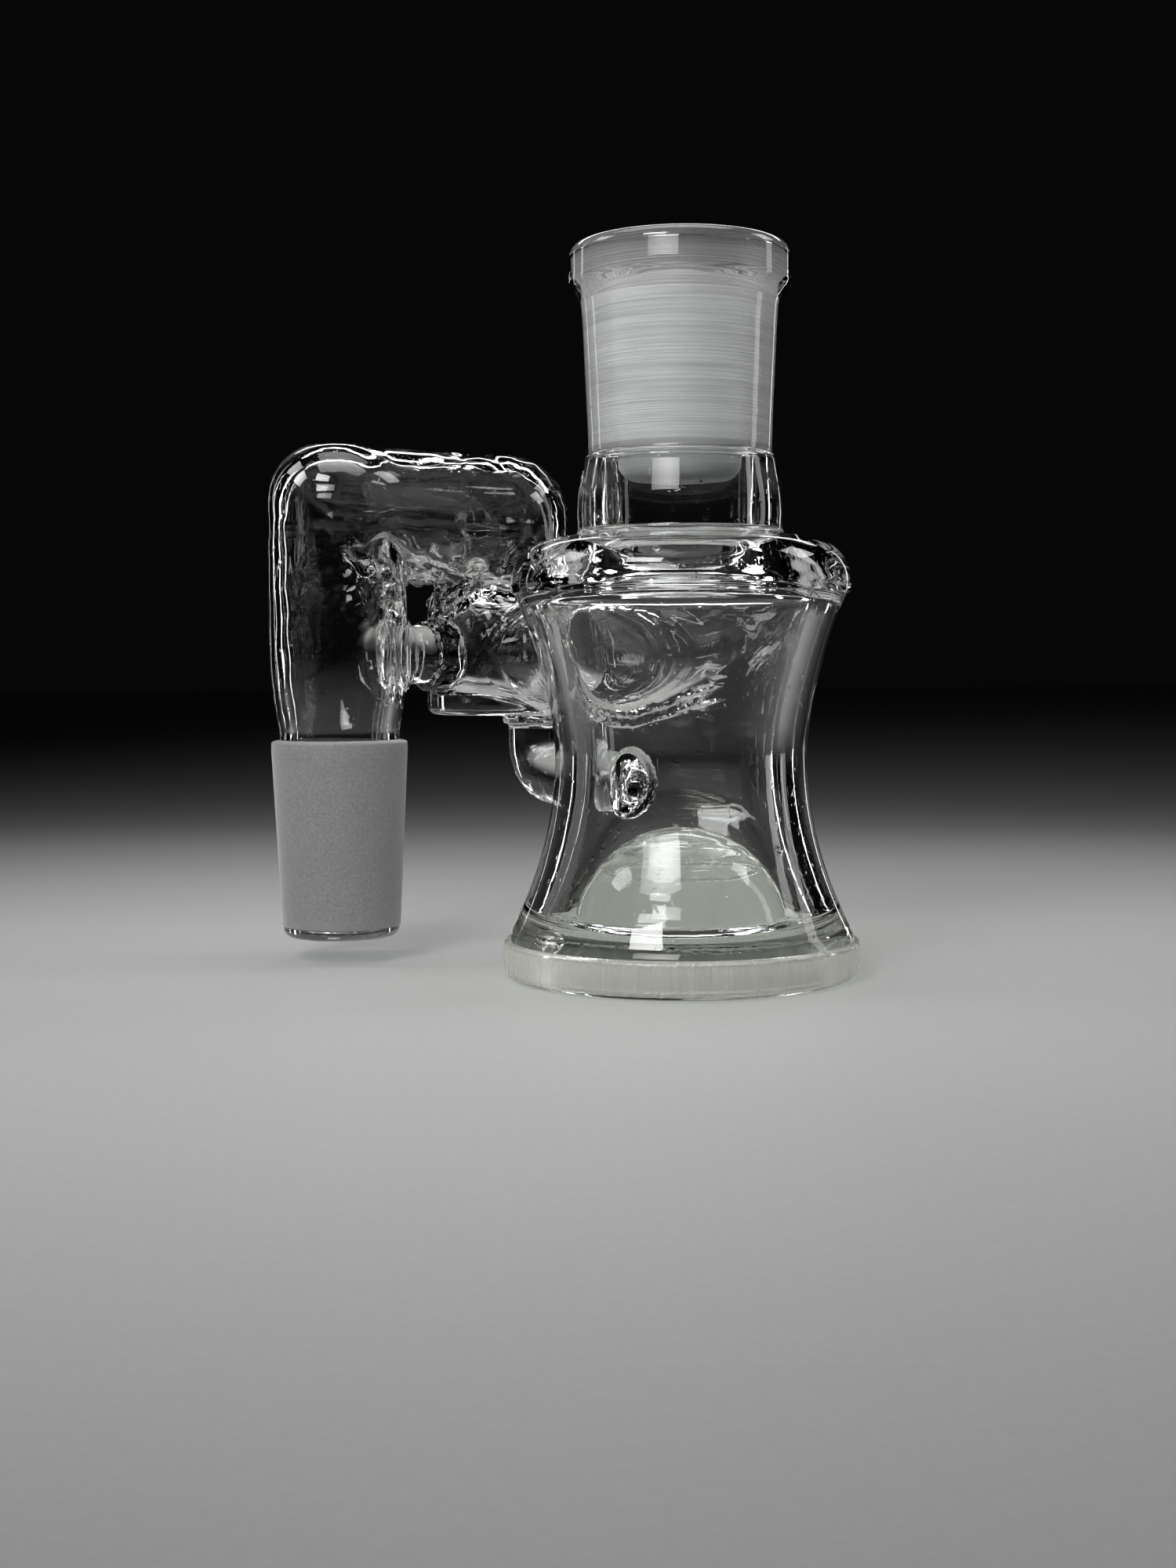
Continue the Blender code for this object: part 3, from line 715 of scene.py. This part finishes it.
def barrel_outline():
    """The ground joint's barrel, which widens upwards."""
    line = arc((BARREL_R + 0.35, BARREL_Z + 0.15), 0.35, 250, 180, 3)
    return line + [(BARREL_R + 0.1, 71.0), (BARREL_TOP_R - 0.15, 83.5), (BARREL_TOP_R, LIP_Z - 0.4)]


def lip_outline():
    """The rolled lip: out over a short cone, up its side, and over the rounded rim into the bore."""
    roll = 1.7
    line = rounded([(BARREL_TOP_R, LIP_Z - 0.4), (12.7, LIP_Z + 0.5), (LIP_R - 0.3, 88.3), (LIP_R, 89.0),
                    (LIP_R, TOTAL_Z - 1.6)], [0.25, 0.25, 0.3])
    line += arc((LIP_R - roll, TOTAL_Z - roll), roll, 0, 90, 9)
    return line + rounded([(11.2, TOTAL_Z - 0.02), (JOINT_R + 0.45, TOTAL_Z - 0.1), in_bore(LIP_BORE_Z)],
                          [0.5])


def cup_outline():
    """The bore's rounded end: in to the throat, round its edge, and back up outside the cup."""
    inner, inner_turn, outer_turn, throat_edge = CUP_R - 1.1, 1.4, 2.4, 0.55
    r, z = in_bore(BORE_END_Z)
    line = smooth_line([(r, z), (r - 0.3, 67.5), (inner + 0.1, 66.4), (inner, 65.4)], 3)[1:]
    line += arc((inner - inner_turn, CUP_BOTTOM + 2.5), inner_turn, 0, -90, 6)
    line += [(THROAT_R + 0.5, CUP_BOTTOM + 1.1)]
    line += arc((THROAT_R + throat_edge, CUP_BOTTOM + throat_edge), throat_edge, 90, 270, 8)
    return line + arc((CUP_R - outer_turn, CUP_BOTTOM + outer_turn), outer_turn, -90, 0, 9) + [(CUP_R, 66.0)]


def ceiling_outline():
    """Over the slit round the cup, down the neck's bore, and out under the shoulder."""
    slit_edge, turn = 0.6, 3.2
    line = arc((CUP_R + slit_edge, 66.2), slit_edge, 180, 90, 4)
    line += arc((NECK_BORE_R - slit_edge, 66.2), slit_edge, 90, 0, 4)
    line += [(NECK_BORE_R, 65.5), (NECK_BORE_R, NECK_Z + 0.5)]
    line += arc((NECK_BORE_R + turn, NECK_Z - 1.5), turn, 180, 245, 7)
    return line + smooth_line([(12.2, 52.2), (13.5, 50.7), (15.2, 50.0), (16.7, 49.6), (17.25, 48.9)], 4)[1:]


def floor_outline():
    """The can's inner face, the gutter at its foot, and the dome, both a little rippled."""
    wall = [(float(can_radius(z)) - CAN_WALL, z) for z in np.linspace(48.2, 9.6, 46)]
    gutter = smooth_line([wall[-1], (float(can_radius(7.4)) - CAN_WALL - 0.15, 7.4), (17.0, 5.8),
                          (15.3, 5.5), (13.6, 6.6)], 12)[1:]
    gutter = [(r, z + 0.07 * math.sin(5.5 * r) * (z < 8.0)) for r, z in gutter]
    dome = arc((0.0, DOME_TOP - DOME_R), DOME_R, 8, 90, 36)
    dome = [(r, z + 0.05 * math.sin(2.6 * r) * (r > 6.0)) for r, z in dome]
    dome[-1] = (0.0, dome[-1][1])
    return wall + gutter[1:] + dome


def make_vessel():
    """The foot, the can, the shoulder, the neck and the female joint, in one closed outline."""
    under, rim = foot_outline()
    can = [(float(can_radius(z)), z) for z in np.linspace(FOOT_TOP, SHOULDER_Z, 60)]
    outside = [rim[-1]] + can[1:] + shoulder_outline() + neck_outline() + barrel_outline() + lip_outline()
    lip_bore = [in_bore(LIP_BORE_Z), in_bore(BARREL_BORE_Z)]
    bore = [in_bore(BARREL_BORE_Z), in_bore(BORE_END_Z)]
    # lip_bore takes the darker ground glass, which is painted shade.
    zones = [(CLEAR, under), (RIM, rim), (CLEAR, outside), (GROUND_LIP_PAINTED_SHADE, lip_bore), (GROUND_BORE, bore),
             (GROUND_CUP, cup_outline()), (CLEAR, ceiling_outline() + floor_outline())]
    return turned("vessel", [(m, spread(line, STEP)) for m, line in zones])


def make_male_joint():
    """The ground cone and its polished tip. The drop tube's end sinks into the top of its wall."""
    def cone(z):
        return JOINT_R - (MALE_TOP - z) / TAPER
    end, tip_bore = GROUND_END, 6.35
    ground = rounded([(MALE_NECK_R - 0.8, MALE_TOP + 0.25), (MALE_NECK_R + 0.1, MALE_TOP + 0.1),
                      (JOINT_R - 0.1, MALE_TOP - 0.1), (cone(MALE_TOP - 1.2), MALE_TOP - 1.2)], [0.1, 0.35])
    ground += [(cone(end), end)]
    tip = [(cone(end), end), (cone(end) - 0.12, end - 0.15)]
    tip += arc((cone(end) - 0.12 - 1.3, MALE_TIP + 1.3), 1.3, 0, -90, 8)
    tip += arc((6.75, MALE_TIP + 0.6), 0.6, -90, -180, 5)
    tip += [(6.0, 8.0), (tip_bore, 20.0), (tip_bore, MALE_TOP + 0.7), (MALE_NECK_R - 0.8, MALE_TOP + 0.7)]
    zones = [(GROUND_CONE, spread(ground, STEP)), (CLEAR, spread(tip, STEP))]
    return turned("male_joint", zones, at=tuple(DROP_AXIS), steps=JOINT_STEPS, ring=True)


# Cutting the glass into its pieces. Every cut face takes the cutter's own material, the weld.

def block(low, high, turn=0.0, at=(0.0, 0.0)):
    """A box in its own axes, turned about the vertical and moved to at."""
    (x0, y0, z0), (x1, y1, z1) = low, high
    points = [(x, y, z) for z in (z0, z1) for y in (y0, y1) for x in (x0, x1)]
    faces = [(0, 2, 3, 1), (4, 5, 7, 6), (0, 1, 5, 4), (2, 6, 7, 3), (0, 4, 6, 2), (1, 3, 7, 5)]
    c, s = math.cos(turn), math.sin(turn)
    points = [(at[0] + x * c - y * s, at[1] + x * s + y * c, z) for x, y, z in points]
    return mesh_object("cutter", points, faces, [WELD])


def column(outline, at=(0.0, 0.0)):
    """A turned cutter: the outline starts and ends on the axis."""
    return turned("cutter", [(WELD, outline)], at=tuple(at), steps=CUTTER_STEPS)


def drum(axis, radius, low, high):
    """An upright cylinder as a cutter."""
    return column([(0.0, low), (radius, low), (radius, high), (0.0, high)], axis)


def copy_of(obj):
    twin = obj.copy()
    twin.data = obj.data.copy()
    bpy.context.scene.collection.objects.link(twin)
    return twin


def part_off(rest, cutter, name):
    """Takes what lies in the cutter away from rest, and returns it as a new object."""
    piece = combine(copy_of(rest), cutter, "INTERSECT", keep_other=True)
    combine(rest, cutter, "DIFFERENCE")
    piece.name = piece.data.name = name + "_glass"
    return keep_biggest(piece)


def keep_biggest(obj):
    """Drops the slivers of no volume that a cut can leave beside the piece itself."""
    mesh = bmesh.new()
    mesh.from_mesh(obj.data)
    part = [None] * len(mesh.verts)
    sizes = []
    for start in mesh.verts:
        if part[start.index] is None:
            part[start.index] = len(sizes)
            reached, waiting = 0, [start]
            while waiting:
                vert = waiting.pop()
                reached += 1
                for edge in vert.link_edges:
                    other = edge.other_vert(vert)
                    if part[other.index] is None:
                        part[other.index] = len(sizes)
                        waiting.append(other)
            sizes.append(reached)
    biggest = sizes.index(max(sizes))
    slivers = [vert for vert in mesh.verts if part[vert.index] != biggest]
    bmesh.ops.delete(mesh, geom=slivers, context="VERTS")
    mesh.to_mesh(obj.data)
    mesh.free()
    return obj


def make_glass():
    """All the glass as one solid."""
    vessel = make_vessel()
    side = field_mesh("side", outside_field, CLEAR)
    hollow = field_mesh("hollow", hollow_field, CLEAR)
    glass = combine(vessel, side, "UNION")
    combine(glass, hollow, "DIFFERENCE")
    return combine(glass, make_male_joint(), "UNION")


def split_column(glass):
    """The main can and all that stands on it, as far out as a little beyond its surface."""
    below, above, wide = -1.0, 96.0, 30.0
    skin = [(float(can_radius(z)) + WELD_REACH, float(z)) for z in np.linspace(FOOT_TOP, SHOULDER_Z, 30)]
    around = [(0.0, below), (26.0, below), (26.0, FOOT_TOP)] + skin
    around += [(23.5, SHOULDER_Z), (23.5, above), (0.0, above)]
    main = part_off(glass, column(around), "can_wall")
    main_pieces = {"can_wall": main}
    main_pieces["foot_disc"] = part_off(main, drum((0, 0), wide, below, FOOT_TOP + 0.07), "foot_disc")
    over_dome = column([(0.0, 0.0), (15.4, 0.0), (15.4, 7.5), (14.4, 11.0), (12.5, 15.5), (9.0, 18.8),
                        (0.0, 21.0)])
    main_pieces["floor_dome"] = part_off(main, over_dome, "floor_dome")
    slices = [("female_joint_lip", LIP_Z - 0.1, above, wide),
              ("female_joint_barrel", BARREL_Z - 0.25, above, wide),
              ("throat_cup", 60.0, 80.0, CUP_R + 0.7),
              ("neck_collar", NECK_Z + 0.3, 80.0, wide),
              ("shoulder_ring", SHOULDER_Z + 0.02, 80.0, wide)]
    for name, low, high, radius in slices:
        main_pieces[name] = part_off(main, drum((0, 0), radius, low, high), name)
    return main_pieces


def split_side(glass):
    """The side can, the arm, the drop tube with its joint, and the braces."""
    side_way = SIDE_AXIS - DROP_AXIS
    brace_turn, span = math.atan2(side_way[1], side_way[0]), np.linalg.norm(side_way)
    arm_turn, arm_span = math.atan2(ARM_WAY[1], ARM_WAY[0]), np.linalg.norm(REAR_AXIS - DROP_AXIS)
    pad_turn, pad_reach = math.atan2(PAD_PLACE[1], PAD_PLACE[0]), np.hypot(*PAD_PLACE)
    ring_at = span - SIDE_R - 0.9 - RING_HALF - 0.15
    side_r = SIDE_R + WELD_REACH
    joint_room, tube_room = 14.0, 11.2
    under, over = 14.0, 75.0

    def on_brace(start, end):
        low, high = ROD_Z - 6.5, ROD_Z + 6.0
        return block((start, -6.5, low), (end, 6.5, high), brace_turn, DROP_AXIS)

    def on_arm(start, end, low):
        return block((start, -18.0, low), (end, 18.0, over), arm_turn, DROP_AXIS)

    def under_side_can(high):
        return block((-40.0, 8.0, under), (5.0, 48.0, high))

    cuts = [
        ("male_joint_tip", drum(DROP_AXIS, joint_room, 0.0, GROUND_END)),
        ("male_joint_cone", drum(DROP_AXIS, joint_room, 0.0, MALE_TOP + 0.35)),
        ("male_joint_neck", drum(DROP_AXIS, tube_room, 0.0, 37.0)),
        ("drop_tube_weld_pad", on_brace(DROP_R + 0.2, DROP_R + 1.6)),
        ("straight_brace_rod", on_brace(DROP_R + 0.2, ring_at)),
        ("drop_tube", drum(DROP_AXIS, tube_room, 0.0, 50.6)),
        ("can_wall_weld_pad", block((14.0, -7.0, BENT_Z - 7.0), (pad_reach + 2.3, 7.0, BENT_Z + 5.5),
                                    pad_turn)),
        ("bent_brace_rod", under_side_can(SIDE_BOTTOM - 1.35)),
        ("bent_brace_collar", under_side_can(SIDE_BOTTOM - 0.2)),
        ("side_can_floor", drum(SIDE_AXIS, side_r + 0.2, under, SIDE_BOTTOM + 3.0)),
        ("side_can_wall", drum(SIDE_AXIS, side_r + 0.1, under, 48.4)),
        ("side_can_shoulder", drum(SIDE_AXIS, side_r, under, 52.4)),
        ("side_can_weld_ring", on_brace(12.0, span - 8.0)),
        ("front_elbow", on_arm(-16.0, 10.8, 50.2)),
        ("cross_tube", on_arm(0.0, arm_span - 10.8, 50.1)),
        ("rear_elbow", on_arm(0.0, arm_span + 18.0, 50.0)),
    ]
    return {name: part_off(glass, cutter, name) for name, cutter in cuts}


def set_stage():
    """A plain pale floor, a little below the foot."""
    reach, drop = 3000, -0.05
    corners = [(-reach, -reach, drop), (reach, -reach, drop), (reach, reach, drop), (-reach, reach, drop)]
    floor = mesh_object("floor", corners, [(0, 1, 2, 3)])
    material, tree, place = start_material("pale_floor")
    grain = noise(tree, place, 900.0, 4.0)
    tone = node(tree, "ShaderNodeMix", {"Factor": grain, "A": (0.50, 0.50, 0.495, 1),
                                        "B": (0.56, 0.56, 0.555, 1)}, data_type="RGBA")
    shader = node(tree, "ShaderNodeBsdfPrincipled", {"Base Color": tone.outputs[2], "Roughness": 0.6})
    node(tree, "ShaderNodeOutputMaterial", {"Surface": shader.outputs[0]})
    floor.data.materials.append(material)


def softbox(name, place, target, size, power, spread_angle):
    """A flat lamp that faces the target and is not itself seen by the camera."""
    lamp = bpy.data.lights.new(name, "AREA")
    lamp.shape = "RECTANGLE"
    lamp.size, lamp.size_y = size
    lamp.energy = power
    lamp.spread = math.radians(spread_angle)
    obj = bpy.data.objects.new(name, lamp)
    obj.location = place
    obj.rotation_euler = (Vector(target) - Vector(place)).to_track_quat("-Z", "Y").to_euler()
    obj.visible_camera = False
    bpy.context.scene.collection.objects.link(obj)


def set_lights():
    """Soft studio light, in small boxes and strips whose images are the glass's highlights."""
    middle = (-0.015, 0.01, 0.05)
    softbox("top_softbox", (-0.015, 0.02, 0.27), (-0.015, 0.0, 0.0), (0.20, 0.10), 0.07, 105.0)
    softbox("front_softbox", (-0.16, -0.28, 0.32), middle, (0.15, 0.09), 0.15, 80.0)
    softbox("far_softbox", (-0.14, -0.40, 0.22), middle, (0.24, 0.10), 0.064, 55.0)
    softbox("left_softbox", (-0.28, 0.04, 0.28), middle, (0.12, 0.10), 0.06, 90.0)
    softbox("right_softbox", (0.26, 0.08, 0.28), middle, (0.12, 0.10), 0.05, 90.0)
    softbox("left_panel", (-0.27, 0.16, 0.12), middle, (0.02, 0.30), 0.006, 60.0)
    softbox("right_panel", (0.32, 0.06, 0.12), middle, (0.05, 0.30), 0.05, 120.0)
    softbox("back_left_strip", (-0.26, 0.34, 0.09), middle, (0.014, 0.26), 0.003, 60.0)
    softbox("back_right_strip", (0.24, 0.36, 0.09), middle, (0.014, 0.26), 0.005, 60.0)
    softbox("back_top_strip", (0.0, 0.24, 0.24), middle, (0.36, 0.03), 0.06, 100.0)
    world = bpy.data.worlds.new("dim_room")
    world.use_nodes = True
    world.node_tree.nodes["Background"].inputs["Color"].default_value = (0.0022, 0.0022, 0.0024, 1)
    bpy.context.scene.world = world


def set_camera():
    """The photograph's view: level with the can's upper half, and tilted down a little."""
    place, tilt, roll = (-0.01208, -0.265, 0.0406), -3.39, -0.30
    data = bpy.data.cameras.new("camera")
    data.lens = 46.8
    data.sensor_width = 36.0
    data.clip_start = 0.01
    camera = bpy.data.objects.new("camera", data)
    turn = Matrix.Rotation(math.radians(90 + tilt), 4, "X") @ Matrix.Rotation(math.radians(roll), 4, "Z")
    camera.matrix_world = Matrix.Translation(place) @ turn
    bpy.context.scene.collection.objects.link(camera)
    bpy.context.scene.camera = camera


def set_render_look():
    """Enough bounces for light to pass all the glass walls, and no caustic speckle."""
    scene = bpy.context.scene
    scene.view_settings.view_transform = "Standard"
    scene.cycles.max_bounces = 24
    scene.cycles.transmission_bounces = 24
    scene.cycles.transparent_max_bounces = 48
    scene.cycles.caustics_reflective = False
    scene.cycles.caustics_refractive = False


def finish_piece(name, piece, slot):
    """Shades a piece and ties it to its node. Thick glass takes a straw tint."""
    sharp_from = 38.0
    mesh = piece.data
    if slot == "thick_edge_glass":
        for index, material in enumerate(mesh.materials):
            if material == CLEAR:
                mesh.materials[index] = THICK
    mesh.shade_smooth()
    mesh.set_sharp_from_angle(angle=math.radians(sharp_from))
    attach(piece, "root")
    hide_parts(name)


set_camera()
set_render_look()
set_stage()
set_lights()
GLASS = make_glass()
PIECES = split_column(GLASS)
PIECES.update(split_side(GLASS))
GLASS.name = GLASS.data.name = "port_tube_glass"
PIECES["port_tube"] = keep_biggest(GLASS)
SLOTS = {row["node"]: row["material_slot"] for row in frame["record"]["subparts"]}
for piece_name, piece in PIECES.items():
    finish_piece(piece_name, piece, SLOTS[piece_name])

bpy.context.view_layer.update()
